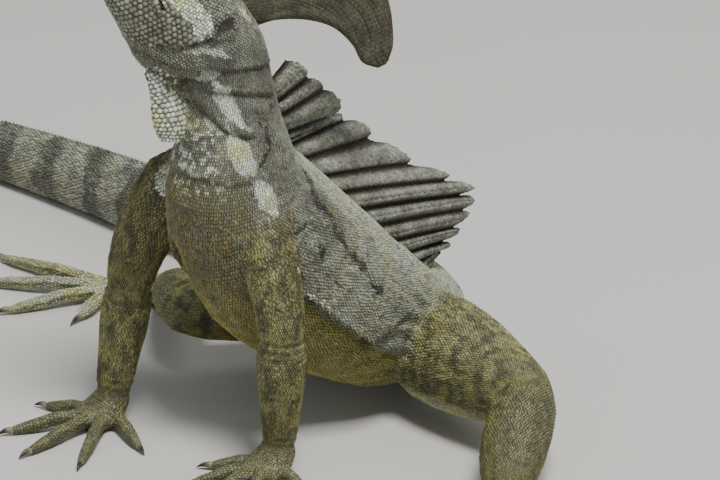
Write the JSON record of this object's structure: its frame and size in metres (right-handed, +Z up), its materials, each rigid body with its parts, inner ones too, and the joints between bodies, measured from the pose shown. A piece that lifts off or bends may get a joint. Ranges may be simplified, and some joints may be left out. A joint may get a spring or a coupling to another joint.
{
  "type": "basilisk lizard",
  "caption": "Life-size still model of a male basilisk lizard propped on straight forelegs, head raised, with a head casque, a rayed back crest and a long tail laid on the floor.",
  "frame": {"origin": "under the middle of the whole animal, on the floor that its feet, tail and pelvis rest on", "axes": "+Z up; the animal looks along -Y with its head turned towards -X; its left is +X; the tail leads away towards -X"},
  "size_m": [0.4852, 0.2684, 0.1797],
  "materials": {
    "hide": "matt scaly hide",
    "belly_hide": "matt scaly hide",
    "tail_hide": "matt scaly hide",
    "crest_skin": "dry folded skin",
    "throat_skin": "beaded skin",
    "eye": "wet gloss",
    "claw": "dark horn"
  },
  "bodies": {
    "root": {"back_crest": "crest_skin", "casque": "crest_skin", "claw_foot_left_1": "claw", "claw_foot_left_2": "claw", "claw_foot_left_3": "claw", "claw_foot_left_4": "claw", "claw_foot_left_5": "claw", "claw_foot_right_1": "claw", "claw_foot_right_2": "claw", "claw_foot_right_3": "claw", "claw_foot_right_4": "claw", "claw_foot_right_5": "claw", "claw_hand_left_1": "claw", "claw_hand_left_2": "claw", "claw_hand_left_3": "claw", "claw_hand_left_4": "claw", "claw_hand_left_5": "claw", "claw_hand_right_1": "claw", "claw_hand_right_2": "claw", "claw_hand_right_3": "claw", "claw_hand_right_4": "claw", "claw_hand_right_5": "claw", "dewlap": "throat_skin", "eye_left": "eye", "eye_right": "eye", "foot_left": "hide", "foot_right": "hide", "forearm_left": "hide", "forearm_right": "hide", "hand_left": "hide", "hand_right": "hide", "head": "hide", "neck": "hide", "shank_left": "hide", "shank_right": "hide", "tail_1": "tail_hide", "tail_2": "tail_hide", "tail_3": "tail_hide", "tail_4": "tail_hide", "tail_5": "tail_hide", "thigh_left": "hide", "thigh_right": "hide", "torso": "belly_hide", "upper_arm_left": "hide", "upper_arm_right": "hide"}
  },
  "joints": []
}
